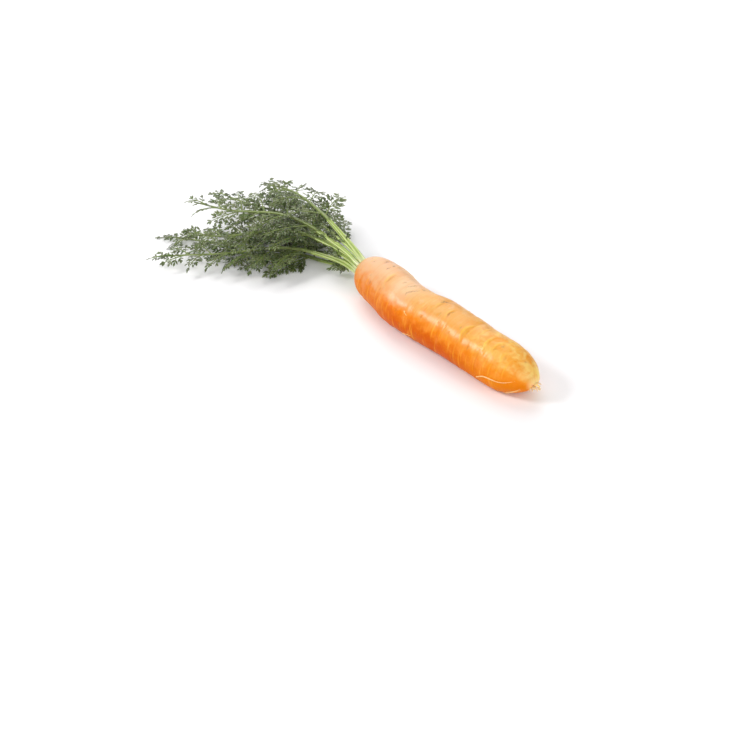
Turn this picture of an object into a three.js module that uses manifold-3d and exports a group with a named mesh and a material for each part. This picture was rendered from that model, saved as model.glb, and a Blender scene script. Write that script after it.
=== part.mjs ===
// One fresh carrot with its green top, as picked and laid on a table.
// Millimetres, +Z up. +X runs from the leaves to the root's tip, and the root and the lowest leaf lie on z = 0.
import * as THREE from "three";
import { mergeVertices } from "three/addons/utils/BufferGeometryUtils.js";
import Module from "manifold-3d";

const wasm = await Module();
wasm.setup();

// The root: a blunt, nearly even taproot.
const ROOT_LENGTH = 164; // from the crown's face to the blunt end
const CROWN_RADIUS = 18.3; // body radius just behind the shoulder
const END_RADIUS = 16.8; // body radius just before the blunt end
const RIM_RADIUS = 8.4; // edge of the sunken crown that the stalks grow from
const DIMPLE_DEPTH = 2.4;
const SHOULDER_LENGTH = 44; // over which the crown rounds out to the full body
const TIP_LENGTH = 40.5; // over which the body rounds in to the tail
const TAIL_RADIUS = 1.7; // the stub that the thin end of the root leaves
const TAIL_LENGTH = 4.5;
const TIP_DROP = 2.5; // the tip points a little down
const FULLNESS = 2.35; // of both roundings: 2 is an ellipse, more is blunter
const BEND = 4.5; // sideways kink, a third of the way down
const BEND_AT = 54;
const BEND_WIDTH = 23.5;
const TIP_SWAY = 4.6; // the tip's turn back to the other side
const WAIST = 0.8; // a slight narrowing past the kink
const WAIST_AT = 66;
const WAIST_WIDTH = 10;
const FLAT_SINK = 0.85; // what the root's own weight flattens underneath
const ROOT_SIDES = 28;
const BODY_STATIONS = 38;

// Creases across the skin: short shallow dents, each part of the way round.
const CREASES = 22;
const CREASE_DEPTH = 0.75;
const CREASE_WIDTH = 1.9;

// The leaves: a grooved stalk, then a feathery frond. Each has its place round the crown (an angle and a distance
// from the crown's middle), its heading away from the -X line, and its level in the pile, from the lowest up.
const CROWN_LEAVES = [
  { at: -90, out: 4.4, heading: -38, level: 0, length: 178, pairs: 6 },
  { at: -18, out: 4.4, heading: 12, level: 1, length: 160, pairs: 5 },
  { at: 198, out: 4.4, heading: -56, level: 2, length: 170, pairs: 6 },
  { at: -30, out: 1.45, heading: -8, level: 3, length: 176, pairs: 6 },
  { at: 150, out: 1.45, heading: -46, level: 4, length: 152, pairs: 5 },
  { at: 126, out: 4.4, heading: -24, level: 5, length: 168, pairs: 5 },
  { at: 54, out: 4.4, heading: 2, level: 6, length: 138, pairs: 4 },
];
const STALK_LENGTH = 54; // bare stalk, from the crown to the lowest leaflets
const STALK_BASE = [4.6, 2.5]; // width and thickness where it leaves the crown
const STALK_NECK = [4.3, 3.1]; // the same at a third of its length
const STALK_END = [3.2, 2.6]; // the same where the frond starts
const GROOVE = 0.45; // how far the groove on the upper side takes the stalk's half thickness in
const RIB_TIP = 1.0; // the frond's rib where it runs out
const TURN_LENGTH = 105; // over which a leaf turns to its heading
const LEAN = 12; // how far the top first leans to the other side, in degrees
const LIFT_LENGTH = 56; // over which a leaf goes from the crown to its level
const LOW_LEVEL = 1.4; // height of the lowest leaf's middle
const LEVEL_GAP = 5.8; // between two leaves of the pile, beside the crown
const LEVEL_FALL = 0.55; // the share of that gap lost at the far end
const PILE_LENGTH = 180;
const WAVE = 0.2; // slow rise and fall of the pile, as a share of its height
const BOW = 0.16; // how far a leaflet bows up, as a share of the gap between levels

const LONGEST_LEAFLET = 43;
const BLADE_THICKNESS = 0.7;
const LOBE_PITCH = 8.5;
const GAP = 0.3; // between pieces that touch

const radians = THREE.MathUtils.degToRad;
const clamp01 = (t) => Math.min(Math.max(t, 0), 1);
const smooth = (t) => clamp01(t) ** 2 * (3 - 2 * clamp01(t));
const mix = (a, b, t) => a + (b - a) * t;
// An even spread of values from 0 to 1, the same on each run.
const scatter = (i, salt) => (((i + 1) * salt) % 101) / 101;

// A closed solid through rings of points, with a fan over each end.
function loft(rings) {
  const sides = rings[0].length;
  const middle = (ring) => ring.reduce((sum, p) => sum.clone().add(p), new THREE.Vector3()).divideScalar(sides);
  const points = [...rings.flat(), middle(rings[0]), middle(rings.at(-1))];
  const index = [];
  for (let r = 0; r < rings.length - 1; r++) {
    for (let i = 0; i < sides; i++) {
      const [a, b] = [r * sides + i, r * sides + ((i + 1) % sides)];
      index.push(a, b, b + sides, a, b + sides, a + sides);
    }
  }
  const last = (rings.length - 1) * sides;
  for (let i = 0; i < sides; i++) {
    const next = (i + 1) % sides;
    index.push(points.length - 2, next, i, points.length - 1, last + i, last + next);
  }
  return new THREE.BufferGeometry().setFromPoints(points).setIndex(index);
}

function toSolid(geometry) {
  const bare = geometry.clone();
  bare.deleteAttribute("normal");
  bare.deleteAttribute("uv");
  const merged = mergeVertices(bare, 1e-4);
  const mesh = new wasm.Mesh({
    numProp: 3,
    vertProperties: merged.attributes.position.array,
    triVerts: new Uint32Array(merged.index.array),
  });
  return new wasm.Manifold(mesh);
}

function toGeometry(solid) {
  const { vertProperties, triVerts } = solid.getMesh();
  return new THREE.BufferGeometry()
    .setAttribute("position", new THREE.BufferAttribute(vertProperties, 3))
    .setIndex(new THREE.BufferAttribute(triVerts, 1));
}

// The root.

// 0 at an end, 1 a full rounding length in from it.
const round = (t) => Math.sqrt(1 - (1 - clamp01(t)) ** FULLNESS);

function bodyRadius(x) {
  const swelling = 0.35 * Math.sin(x / 11 + 0.8) + 0.2 * Math.sin(x / 5.3);
  const waist = WAIST * Math.exp(-(((x - WAIST_AT) / WAIST_WIDTH) ** 2));
  return mix(CROWN_RADIUS, END_RADIUS, x / ROOT_LENGTH) + swelling - waist;
}

function rootRadius(x) {
  const shoulder = mix(RIM_RADIUS, bodyRadius(x), round(x / SHOULDER_LENGTH));
  return mix(TAIL_RADIUS, shoulder, round((ROOT_LENGTH - x) / TIP_LENGTH));
}

function rootMiddle(x) {
  const tip = smooth((x - ROOT_LENGTH + TIP_LENGTH * 1.6) / (TIP_LENGTH * 1.6));
  const kink = Math.exp(-(((x - BEND_AT) / BEND_WIDTH) ** 2));
  const low = mix(CROWN_RADIUS, END_RADIUS, clamp01(x / ROOT_LENGTH)) - FLAT_SINK;
  return new THREE.Vector3(x, TIP_SWAY * tip - BEND * kink, low - TIP_DROP * tip);
}

const creases = Array.from({ length: CREASES }, (_, i) => ({
  x: mix(12, ROOT_LENGTH - 14, (i + 0.5 * scatter(i, 37)) / CREASES),
  at: radians(360 * scatter(i, 61)),
  reach: radians(mix(45, 100, scatter(i, 23))),
  depth: CREASE_DEPTH * mix(0.45, 1, scatter(i, 79)),
}));

function creaseDepth(x, angle) {
  return creases.reduce((sum, crease) => {
    const off = Math.abs(THREE.MathUtils.euclideanModulo(angle - crease.at + Math.PI, 2 * Math.PI) - Math.PI);
    const across = Math.exp(-(((x - crease.x) / CREASE_WIDTH) ** 2));
    return sum + crease.depth * across * smooth(1 - off / crease.reach);
  }, 0);
}

function rootRing(x, radius, relief = true) {
  const middle = rootMiddle(x);
  return Array.from({ length: ROOT_SIDES }, (_, i) => {
    const angle = (2 * Math.PI * i) / ROOT_SIDES;
    const r = radius - (relief ? creaseDepth(x, angle) : 0);
    const point = new THREE.Vector3(middle.x, middle.y + r * Math.cos(angle), middle.z + r * Math.sin(angle));
    point.z = Math.max(point.z, 0);
    return point;
  });
}

function rootSolid() {
  const rings = [rootRing(DIMPLE_DEPTH, RIM_RADIUS * 0.5, false), rootRing(DIMPLE_DEPTH, RIM_RADIUS - 0.8, false)];
  const stations = [0, 0.5, 1.6, 3.4, 6, 9.4];
  const bodyEnd = ROOT_LENGTH - TIP_LENGTH * 0.62;
  for (let i = 0; i <= BODY_STATIONS; i++) stations.push(mix(13, bodyEnd, i / BODY_STATIONS));
  for (const share of [0.53, 0.44, 0.35, 0.26, 0.18, 0.11, 0.055, 0.02]) {
    stations.push(ROOT_LENGTH - TIP_LENGTH * share);
  }
  for (const x of stations) rings.push(rootRing(x, rootRadius(x)));
  for (const share of [0.05, 0.4, 0.75, 1]) {
    const x = ROOT_LENGTH + TAIL_LENGTH * share;
    rings.push(rootRing(x, mix(TAIL_RADIUS, 0.5, share), false));
  }
  return loft(rings);
}

// The leaves.

// The room between two levels of the pile at a place in plan.
function levelGap(x, y) {
  const away = clamp01((Math.hypot(x, y) - LIFT_LENGTH) / (PILE_LENGTH - LIFT_LENGTH));
  return LEVEL_GAP * (1 - LEVEL_FALL * away) * (1 + WAVE * Math.sin(x / 21) * Math.cos(y / 17));
}

// The height of a leaf of this level there: the leaves lie over each other and don't cross.
const levelHeight = (level, x, y) => LOW_LEVEL + level * levelGap(x, y);

// Points along the middle of a leaf, from the crown out, one a millimetre of its length.
function leafLine({ at, out, heading, level, length }) {
  const crown = rootMiddle(0);
  const start = { y: out * Math.cos(radians(at)), z: crown.z + out * Math.sin(radians(at)) };
  const line = [];
  let [x, y] = [DIMPLE_DEPTH - GAP, crown.y + start.y];
  for (let s = 0; s <= length; s++) {
    const lift = smooth(s / LIFT_LENGTH);
    line.push(new THREE.Vector3(x, y, mix(start.z, levelHeight(level, x, y), lift)));
    const lean = LEAN * smooth(s / 12) * (1 - smooth(s / LIFT_LENGTH));
    const turn = radians(lean + heading * smooth(s / TURN_LENGTH));
    x -= Math.cos(turn);
    y += Math.sin(turn);
  }
  return line;
}

// The way on and the way to the side at a point of the line.
function leafAxes(line, s) {
  const i = Math.min(Math.max(Math.round(s), 1), line.length - 2);
  const on = line[i + 1].clone().sub(line[i - 1]).normalize();
  const side = new THREE.Vector3().crossVectors(on, new THREE.Vector3(0, 0, 1)).normalize();
  return { on, side, up: new THREE.Vector3().crossVectors(side, on) };
}

function ribRing(line, s, width, thickness, roll, groove, sides) {
  const { on, side, up } = leafAxes(line, s);
  const centre = line[Math.round(s)];
  return Array.from({ length: sides }, (_, i) => {
    const angle = Math.PI / 2 + (2 * Math.PI * i) / sides;
    const rise = (thickness / 2) * Math.sin(angle) * (i === 0 ? 1 - groove : 1);
    const across = (-width / 2) * Math.cos(angle);
    const point = side.clone().multiplyScalar(across).addScaledVector(up, rise);
    return point.applyAxisAngle(on, roll).add(centre);
  });
}

function stalkSolid(leaf) {
  const line = leafLine(leaf);
  // The flat base of a stalk lies round the crown, and the stalk turns level as it goes out.
  const tangent = THREE.MathUtils.euclideanModulo(leaf.at + 180, 180) - 90;
  const neck = STALK_LENGTH / 3;
  const rings = [];
  for (const share of [0, 0.06, 0.14, 0.24, 0.34, 0.45, 0.56, 0.67, 0.78, 0.89, 1]) {
    const s = Math.round(share * (STALK_LENGTH - 1));
    const size = [0, 1].map((k) =>
      mix(mix(STALK_BASE[k], STALK_NECK[k], smooth(s / neck)), STALK_END[k], smooth((s - neck) / (2 * neck))),
    );
    const roll = -radians(tangent) * (1 - smooth(s / STALK_LENGTH));
    rings.push(ribRing(line, s, size[0], size[1], roll, GROOVE * smooth(s / neck), 8));
  }
  return loft(rings);
}

// The outline of one leaflet along +X: a thin rib with pointed lobes on both sides, cut nearly to the rib.
function leafletShape(length) {
  const rib = 0.55;
  const pairs = Math.max(2, Math.round(length / LOBE_PITCH));
  const edge = [];
  for (let i = 0; i < pairs; i++) {
    const share = (i + 0.6) / (pairs + 0.35);
    const start = length * (0.12 + 0.78 * share);
    const reach = (0.3 * length + 2) * (1 - 0.62 * share);
    const base = Math.min(2.6, (0.42 * length) / pairs);
    edge.push([start - base / 2, rib], [start + 0.35 * reach, reach * 0.62], [start + 0.82 * reach, reach * 0.72]);
    edge.push([start + base, rib * 1.3]);
  }
  const back = edge.map(([a, b]) => [a, -b]).reverse();
  return new THREE.Shape([[-0.4, 0.5], ...edge, [length, 0.35], [length, -0.35], ...back, [-0.4, -0.5]].map(
    ([a, b]) => new THREE.Vector2(a, b),
  ));
}

// A leaflet laid from a point of the leaf's rib, turned away from it, and bowed within its own level.
function leafletSolid(leaf, line, s, turn, length) {
  const origin = line[Math.round(s)];
  const { on } = leafAxes(line, s);
  const heading = Math.atan2(on.y, on.x) + turn;
  const geometry = new THREE.ExtrudeGeometry(leafletShape(length), {
    depth: BLADE_THICKNESS,
    bevelEnabled: false,
    steps: 1,
  });
  const position = geometry.attributes.position;
  for (let i = 0; i < position.count; i++) {
    const [a, b, c] = [position.getX(i), position.getY(i), position.getZ(i)];
    const x = origin.x + a * Math.cos(heading) - b * Math.sin(heading);
    const y = origin.y + a * Math.sin(heading) + b * Math.cos(heading);
    const bow = BOW * levelGap(x, y) * Math.sin((Math.PI * clamp01(a / length)) / 1.35);
    const z = levelHeight(leaf.level, x, y) + bow + c - BLADE_THICKNESS / 2;
    position.setXYZ(i, x, y, z);
  }
  return toSolid(geometry);
}

function frondSolid(leaf) {
  const line = leafLine(leaf);
  const start = STALK_LENGTH;
  const blade = leaf.length - start - 12;
  const rings = [];
  const steps = 12;
  for (let i = 0; i <= steps; i++) {
    const share = i / steps;
    const size = [0, 1].map((k) => mix(STALK_END[k], RIB_TIP, share ** 0.7));
    rings.push(ribRing(line, start + Math.round(share * blade), size[0], size[1], 0, 0, 6));
  }
  let solid = toSolid(loft(rings));
  for (let i = 0; i < leaf.pairs; i++) {
    const share = (i + 0.25) / leaf.pairs;
    const s = start + blade * share ** 0.92;
    const length = LONGEST_LEAFLET * (leaf.length / 178) * (i === 0 ? 0.92 : 1 - 0.68 * share);
    for (const hand of [-1, 1]) {
      const turn = hand * radians(mix(62, 40, share) + 6 * (scatter(i * 2 + (hand + 1) / 2, 43) - 0.5));
      solid = solid.add(leafletSolid(leaf, line, s + 1.5 * hand, turn, length * mix(0.92, 1.05, scatter(i, 29))));
    }
  }
  return toGeometry(solid.add(leafletSolid(leaf, line, start + blade - 3, 0, 17)));
}

// Assembly.

const skin = new THREE.MeshStandardMaterial({ color: 0xf28c28, roughness: 0.4, metalness: 0 });
const stalkGreen = new THREE.MeshStandardMaterial({ color: 0xb5cf72, roughness: 0.5, metalness: 0 });
const frondGreen = new THREE.MeshStandardMaterial({ color: 0x4b6b2c, roughness: 0.6, metalness: 0 });

function piece(name, geometry, material) {
  const mesh = new THREE.Mesh(geometry, material);
  mesh.name = name;
  return mesh;
}

const carrot = new THREE.Group();
carrot.add(piece("root", rootSolid(), skin));
CROWN_LEAVES.forEach((leaf, i) => {
  carrot.add(piece(`stalk_${i + 1}`, stalkSolid(leaf), stalkGreen));
  carrot.add(piece(`frond_${i + 1}`, frondSolid(leaf), frondGreen));
});

// The origin is on the table, under the middle of the whole.
const box = new THREE.Box3().setFromObject(carrot);
const middle = box.getCenter(new THREE.Vector3());
carrot.position.set(-middle.x, -middle.y, -box.min.z);

export default carrot;
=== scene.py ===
"""Looks of one fresh carrot with its green top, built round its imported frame. Blender 4.5, in metres.

The forms below are in millimetres in the carrot's own frame: x from the crown's face to the tip, z up from
the surface it lies on. place() takes them to the row frame in metres.
"""

import math

import bpy
import numpy as np
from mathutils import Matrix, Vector, noise


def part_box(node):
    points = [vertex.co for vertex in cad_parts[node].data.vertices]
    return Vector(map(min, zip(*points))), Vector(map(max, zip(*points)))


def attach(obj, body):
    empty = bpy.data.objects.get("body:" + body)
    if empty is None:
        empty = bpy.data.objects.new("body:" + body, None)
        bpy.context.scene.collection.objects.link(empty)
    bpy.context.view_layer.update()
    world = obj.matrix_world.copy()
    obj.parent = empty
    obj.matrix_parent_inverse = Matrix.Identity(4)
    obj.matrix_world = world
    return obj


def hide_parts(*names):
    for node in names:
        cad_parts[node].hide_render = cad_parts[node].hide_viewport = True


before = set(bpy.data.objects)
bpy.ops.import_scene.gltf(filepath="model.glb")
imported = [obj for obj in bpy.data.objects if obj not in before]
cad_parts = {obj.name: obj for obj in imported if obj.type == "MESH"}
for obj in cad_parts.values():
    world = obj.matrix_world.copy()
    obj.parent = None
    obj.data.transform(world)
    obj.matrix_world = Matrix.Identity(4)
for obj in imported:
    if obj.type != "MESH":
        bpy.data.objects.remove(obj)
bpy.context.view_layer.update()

# The root's driving dimensions, as its solid has them.
ROOT_LENGTH = 164  # from the crown's face to the blunt end
CROWN_RADIUS = 18.3  # just behind the shoulder
END_RADIUS = 16.8  # just before the blunt end
RIM_RADIUS = 8.4  # edge of the sunken crown that the stalks grow from
DIMPLE_DEPTH = 2.4
SHOULDER_LENGTH = 44  # over which the crown rounds out to the full body
TIP_LENGTH = 40.5  # over which the body rounds in to the tail
TAIL_RADIUS = 1.7
TAIL_END_RADIUS = 0.45
TAIL_LENGTH = 4.5
TIP_DROP = 2.5  # the tip points a little down
TIP_SWAY = 4.6  # and a little to the side
TIP_TURN_LENGTH = TIP_LENGTH * 1.6  # over which it does both
FULLNESS = 2.35  # of both roundings: 2 is an ellipse, more is blunter
BEND = 4.5  # sideways kink
BEND_AT = 54
BEND_WIDTH = 23.5
WAIST = 0.8  # a slight narrowing past the kink
WAIST_AT = 66
WAIST_WIDTH = 10
FLAT_SINK = 0.85  # how far the root is sunk into its resting face
TIP_RISE = 2.4  # how far the lower side of the tip rises towards its end
TIP_RISE_FROM = 138
CREASES = 22
CREASE_SPAN = (12, ROOT_LENGTH - 14)  # where they lie along the root
CREASE_REACH = (45, 100)  # half of how far each goes round, in degrees
CREASE_DEPTH = 0.75
CREASE_WIDTH = 1.9
CREASE_CORE = 0.7  # width of the fine line along each

# The leaves' driving dimensions, as their solids have them.
CROWN_LEAVES = [
    {"at": -90, "out": 4.4, "heading": -38, "level": 0, "length": 178, "pairs": 6},
    {"at": -18, "out": 4.4, "heading": 12, "level": 1, "length": 160, "pairs": 5},
    {"at": 198, "out": 4.4, "heading": -56, "level": 2, "length": 170, "pairs": 6},
    {"at": -30, "out": 1.45, "heading": -8, "level": 3, "length": 176, "pairs": 6},
    {"at": 150, "out": 1.45, "heading": -46, "level": 4, "length": 152, "pairs": 5},
    {"at": 126, "out": 4.4, "heading": -24, "level": 5, "length": 168, "pairs": 5},
    {"at": 54, "out": 4.4, "heading": 2, "level": 6, "length": 138, "pairs": 4},
]
STALK_LENGTH = 54  # bare stalk, from the crown to the lowest leaflets
NECK_AT = STALK_LENGTH / 3
STALK_BASE = (4.6, 2.5)  # width and thickness where it leaves the crown
STALK_NECK = (4.3, 3.1)  # the same at the neck
STALK_END = (3.2, 2.6)  # the same where the frond starts
GROOVE = 0.45  # depth of the groove on the upper side, as a share of the half thickness
GROOVE_WIDTH = 0.42
RIB_TIP = 1.0  # the frond's rib where it runs out
TURN_LENGTH = 105  # over which a leaf turns to its heading
LEAN = 12  # how far it first leans to the other side, in degrees
LEAN_LENGTH = 12  # over which it starts to lean
LIFT_LENGTH = 56  # over which it goes from the crown to its level
LOW_LEVEL = 1.4  # height of the lowest leaf's middle
LEVEL_GAP = 5.8  # between two levels of the pile, near the crown
LEVEL_FALL = 0.55  # the share of that gap lost at the far end
PILE_LENGTH = 180
WAVE = 0.2  # slow rise and fall of the pile, as a share of its height
WAVE_SIZES = (21, 17)  # along x and along y
BOW = 0.16  # how far a leaflet bows up, as a share of the gap
BOW_SPAN = 1.35  # the bow's length, as a share of the leaflet's
FROND_END = 12  # from the last leaflets to the leaf's end
LONGEST_LEAFLET = 43
LONGEST_LEAF = 178
END_LEAFLET = 17
GAP = 0.3  # between pieces that touch

# How finely the surfaces are cut.
ROOT_STATIONS = 600
ROOT_SIDES = 144
BOWL_STATIONS = 22
TAIL_STATIONS = 12
STALK_STATIONS = 54
STALK_SIDES = 36
FROND_STATIONS = 50
RIB_STEPS = 12  # along a leaflet

# The photo's view. The aim is in the carrot's own frame.
CAMERA_AZIMUTH = 50.6
CAMERA_ELEVATION = 38.5
CAMERA_DISTANCE = 0.794
CAMERA_AIM = (95.8, -68.8, 16.0)
CAMERA_LENS = 60
CAMERA_SENSOR = 36
CAMERA_REACH = 50

SEED = 11
draw = np.random.default_rng(SEED)


def mix(a, b, t):
    return a + (b - a) * t


def clamp01(t):
    return np.clip(t, 0, 1)


def smooth(t):
    t = clamp01(t)
    return t * t * (3 - 2 * t)


def bell(away, width):
    """1 in the middle, 0 well past the width."""
    return np.exp(-((away / width) ** 2))


def taper(thick, thin, count):
    """Radii along a line of this many points."""
    return mix(thick, thin, np.linspace(0, 1, count))


def scatter(i, salt):
    """An even spread of values from 0 to 1, the one that the solids use."""
    return (((i + 1) * salt) % 101) / 101


def find_shift():
    """From the carrot's own frame to the row frame, read from the root's solid."""
    low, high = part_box("root")
    end_face = high.x - 1e-5
    tail = [v.co.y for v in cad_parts["root"].data.vertices if v.co.x > end_face]
    return np.array([low.x, (min(tail) + max(tail)) / 2 - TIP_SWAY / 1000, 0.0])


SHIFT = find_shift()


def place(points):
    return np.asarray(points, float) / 1000 + SHIFT


# Mesh making.

TUBE_FLOOR = 0.02  # the least height of a tube's points
BLADE_FLOOR = 0.15  # the least height of a blade's points
NEARLY_UP = (0.02, 0.03, 1.0)  # not quite up, so that a line straight up has a side
DISH = 0.18  # how far a blade's edges stand above its middle, as a share of its width


def link(added):
    bpy.context.scene.collection.objects.link(added)
    return added


def make_object(name, points, faces, material, masks):
    """A smooth mesh. Each mask has a name and a value for each point."""
    mesh = bpy.data.meshes.new(name)
    mesh.from_pydata(place(points).tolist(), [], faces)
    mesh.validate()
    mesh.materials.append(material)
    mesh.polygons.foreach_set("use_smooth", np.ones(len(mesh.polygons), bool))
    for mask, values in masks.items():
        attribute = mesh.attributes.new(mask, "FLOAT", "POINT")
        attribute.data.foreach_set("value", np.asarray(values, np.float32).ravel())
    mesh.update()
    return link(bpy.data.objects.new(name, mesh))


def loft_faces(rings, sides):
    """Quads round a stack of rings, and a fan to a middle point at each end."""
    faces = []
    for r in range(rings - 1):
        for i in range(sides):
            a = r * sides + i
            b = r * sides + (i + 1) % sides
            faces.append((a, b, b + sides, a + sides))
    middles = rings * sides
    last = (rings - 1) * sides
    for i in range(sides):
        j = (i + 1) % sides
        faces.append((middles, j, i))
        faces.append((middles + 1, last + i, last + j))
    return faces


def with_ends(rings):
    """The rings' points in one list, then the middles of the first and the last ring."""
    ends = [rings[0].mean(axis=0), rings[-1].mean(axis=0)]
    return np.concatenate([rings.reshape(-1, 3), ends])


class Gather:
    """Collects points, faces and a mask from many small closed forms for one mesh."""

    def __init__(self):
        self.points = []
        self.faces = []
        self.mask = []
        self.count = 0

    def add(self, points, faces, mask):
        self.points.append(points)
        self.faces.extend([tuple(i + self.count for i in face) for face in faces])
        self.mask.append(np.full(len(points), mask))
        self.count += len(points)

    def tube(self, points, radii, sides, mask):
        """A closed round tube along a list of points."""
        points = np.asarray(points, float)
        on = np.gradient(points, axis=0)
        on /= np.linalg.norm(on, axis=1)[:, None]
        side = np.cross(on, NEARLY_UP)
        side /= np.linalg.norm(side, axis=1)[:, None]
        up = np.cross(side, on)
        turn = np.linspace(0, 2 * np.pi, sides, endpoint=False)[None, :, None]
        ring = side[:, None] * np.cos(turn) + up[:, None] * np.sin(turn)
        rings = points[:, None] + ring * np.asarray(radii, float)[:, None, None]
        rings[..., 2] = np.maximum(rings[..., 2], TUBE_FLOOR)
        # The ring runs the way that turns the faces outwards.
        self.add(with_ends(rings[:, ::-1]), loft_faces(len(points), sides), mask)

    def blades(self, shapes, thick, outline, mask):
        """Many narrow blades at once: lens-shaped across, as wide as the outline says, and curled down.

        A shape holds its base, its ways on, to the side and up, its length, width and curl.
        """
        base, on, side, up, length, width, curl = (np.array(values, float) for values in zip(*shapes))
        length, width, curl = (values[:, None, None] for values in (length, width, curl))
        shares, widths = np.array(outline).T
        across = np.array([-1.0, 0.0, 1.0, 0.0])
        above = np.array([0.0, -1.0, 0.0, 1.0])
        t = shares[None, :, None]
        w = widths[None, :, None]
        along = length * t
        dish = DISH * width * (np.abs(across) - 0.5) * w
        lift = -curl * length * t**2 + thick * above * w + dish
        spread = width / 2 * across * w
        points = (
            base[:, None, None]
            + on[:, None, None] * along[..., None]
            + side[:, None, None] * spread[..., None]
            + up[:, None, None] * lift[..., None]
        )
        count, rings = len(base), len(shares)
        tip = base[:, None] + on[:, None] * length - up[:, None] * (curl * length)
        points = np.concatenate([points.reshape(count, rings * 4, 3), tip], axis=1)
        low = points[..., 2].min(axis=1)
        points[..., 2] += np.maximum(BLADE_FLOOR - low, 0)[:, None]
        faces = []
        for r in range(rings - 1):
            for i in range(4):
                j = (i + 1) % 4
                faces.append((r * 4 + i, r * 4 + j, r * 4 + 4 + j, r * 4 + 4 + i))
        last = (rings - 1) * 4
        faces.extend([(last + i, last + (i + 1) % 4, rings * 4) for i in range(4)])
        faces.append((3, 2, 1, 0))
        size = rings * 4 + 1
        faces = [tuple(i + k * size for i in face) for k in range(count) for face in faces]
        self.add(points.reshape(-1, 3), faces, mask)

    def build(self, name, material, mask_name):
        masks = {mask_name: np.concatenate(self.mask)}
        return make_object(name, np.concatenate(self.points), self.faces, material, masks)


def finish_piece(piece, slot, *nodes):
    """Hands a piece over to the root's body and hides the solids it stands for. The slot is not used."""
    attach(piece, "root")
    if nodes:
        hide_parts(*nodes)


# Materials.


def rgb(code):
    """A colour as written in a picture, as linear values."""
    parts = [int(code[i : i + 2], 16) / 255 for i in (0, 2, 4)]
    return tuple(c / 12.92 if c <= 0.04045 else ((c + 0.055) / 1.055) ** 2.4 for c in parts) + (1.0,)


class Shader:
    """A material with one principled shader, and short ways to add what feeds it."""

    def __init__(self, name):
        self.material = bpy.data.materials.new(name)
        self.material.use_nodes = True
        self.tree = self.material.node_tree
        self.principled = next(n for n in self.tree.nodes if n.type == "BSDF_PRINCIPLED")

    def node(self, kind, links=None, **settings):
        made = self.tree.nodes.new(kind)
        for key, value in settings.items():
            setattr(made, key, value)
        for key, value in (links or {}).items():
            self.feed(made.inputs[key], value)
        return made

    def feed(self, socket, value):
        if isinstance(value, bpy.types.NodeSocket):
            self.tree.links.new(value, socket)
        else:
            socket.default_value = value

    def set(self, **values):
        for key, value in values.items():
            self.feed(self.principled.inputs[key.replace("_", " ")], value)

    def coordinates(self, scale=(1, 1, 1)):
        """Object coordinates in millimetres, stretched by the scale."""
        there = self.node("ShaderNodeTexCoord").outputs["Object"]
        sizes = tuple(1000 * s for s in scale)
        return self.node("ShaderNodeMapping", {"Vector": there, "Scale": sizes}).outputs["Vector"]

    def from_crown(self, even):
        """How far a point is from the crown's face towards the tip. The leaves are below 0."""
        along = self.node("ShaderNodeSeparateXYZ", {"Vector": even}).outputs["X"]
        return self.math("SUBTRACT", along, float(SHIFT[0] * 1000))

    def noise(self, vector, scale, detail=3.0, roughness=0.55, distortion=0.0):
        links = {"Vector": vector, "Scale": scale, "Detail": detail}
        links |= {"Roughness": roughness, "Distortion": distortion}
        return self.node("ShaderNodeTexNoise", links).outputs["Fac"]

    def ramp(self, value, stops):
        """A colour ramp from (place, colour) stops."""
        made = self.node("ShaderNodeValToRGB", {"Fac": value})
        elements = made.color_ramp.elements
        while len(elements) < len(stops):
            elements.new(0.5)
        for element, (at, code) in zip(elements, stops):
            element.position = at
            element.color = rgb(code)
        return made.outputs["Color"]

    def span(self, value, low, high, to_low=0.0, to_high=1.0):
        """A smooth step of the value between two limits."""
        links = {"Value": value, "From Min": low, "From Max": high, "To Min": to_low, "To Max": to_high}
        return self.node("ShaderNodeMapRange", links, interpolation_type="SMOOTHSTEP").outputs["Result"]

    def math(self, operation, a, b=0.0):
        made = self.node("ShaderNodeMath", operation=operation)
        self.feed(made.inputs[0], a)
        self.feed(made.inputs[1], b)
        return made.outputs["Value"]

    def times(self, a, b):
        return self.math("MULTIPLY", a, b)

    def blend(self, share, a, b):
        """From colour a to colour b. The node's colour sockets are 6 and 7 going in, 2 coming out."""
        made = self.node("ShaderNodeMix", data_type="RGBA")
        self.feed(made.inputs[0], share)
        self.feed(made.inputs[6], a)
        self.feed(made.inputs[7], b)
        return made.outputs[2]

    def mask(self, name):
        return self.node("ShaderNodeAttribute", attribute_name=name).outputs["Fac"]

    def bump(self, height, strength, distance_mm, normal=None):
        links = {"Height": height, "Strength": strength, "Distance": distance_mm / 1000}
        if normal is not None:
            links["Normal"] = normal
        return self.node("ShaderNodeBump", links).outputs["Normal"]


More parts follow.
